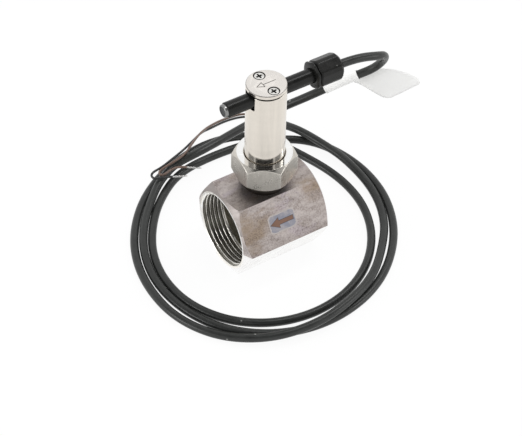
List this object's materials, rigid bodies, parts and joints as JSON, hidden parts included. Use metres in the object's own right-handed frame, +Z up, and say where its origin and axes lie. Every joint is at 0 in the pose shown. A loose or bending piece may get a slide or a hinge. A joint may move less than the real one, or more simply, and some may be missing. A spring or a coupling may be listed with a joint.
{
  "type": "inline paddle flow switch",
  "caption": "Hexagonal steel pipe tee with female threads, a swinging paddle inside, and a slim housing clamping a sealed reed switch tube with its coiled cable.",
  "frame": {"origin": "middle of the tee's lower flat, under the switch housing's axis", "axes": "+X along the pipe axis against the flow, towards the inlet and the cable gland; +Z up the switch housing; front on -Y"},
  "size_m": [0.1653, 0.1673, 0.1137],
  "materials": {
    "tee_steel": "machined stainless bar, satin, faint heat tint",
    "nut_steel": "machined stainless, satin flats and a bright top face",
    "housing_steel": "fine turned stainless",
    "cap_steel": "bright turned stainless",
    "screw_steel": "bright stainless screw",
    "lever_steel": "plain stainless",
    "blade_steel": "cold-rolled stainless sheet",
    "bearing_bush": "pale bearing plastic",
    "magnet_dark": "dark sintered magnet",
    "tube_black": "satin black plastic",
    "gland_black": "moulded black plastic",
    "resin_black": "cast resin",
    "plug_grey": "grey plastic",
    "seal_rubber": "soft black rubber",
    "reed_glass": "clear greenish capsule glass",
    "reed_metal": "plated nickel-iron strip",
    "cable_black": "black PVC sheath, low sheen",
    "wire_brown": "brown wire insulation",
    "wire_black": "black wire insulation",
    "wire_tinned": "tinned copper strand",
    "label_white": "blank white label film"
  },
  "bodies": {
    "base": {"tee_body": "tee_steel", "neck_adapter": "nut_steel", "housing_o_ring": "seal_rubber", "union_nut": "nut_steel", "switch_housing": "housing_steel", "clamp_cap": "cap_steel", "cap_screws": "screw_steel", "pivot_carrier": "lever_steel", "pivot_pin": "screw_steel", "carrier_clip": "lever_steel", "return_magnet": "magnet_dark"},
    "paddle": {"paddle_lever": "lever_steel", "pivot_bush": "bearing_bush", "magnet_cup": "lever_steel", "lever_magnet": "magnet_dark", "paddle_blade": "blade_steel", "blade_rivets": "screw_steel"},
    "reed_stick": {"sensor_tube": "tube_black", "tube_end_plug": "plug_grey", "tube_potting": "resin_black", "reed_glass": "reed_glass", "reed_upper": "reed_metal", "reed_lower": "reed_metal", "gland_body": "gland_black", "gland_nut": "gland_black", "gland_seal": "seal_rubber", "cable_lead": "cable_black", "cable_coil": "cable_black", "cable_tail": "cable_black", "conductor_brown": "wire_brown", "conductor_black": "wire_black", "conductor_tips": "wire_tinned", "cable_label": "label_white"}
  },
  "joints": [
    {"name": "paddle_swing", "type": "hinge", "parent": "base", "child": "paddle", "pos_m": [0, 0, 0.0592], "axis": [0, 1, 0], "range_deg": [0, 14], "stiffness_Nm_per_rad": 0.008, "springref_deg": -20.05},
    {"name": "reed_slide", "type": "slide", "parent": "base", "child": "reed_stick", "axis": [1, 0, 0], "range_m": [-0.004, 0.004]}
  ]
}
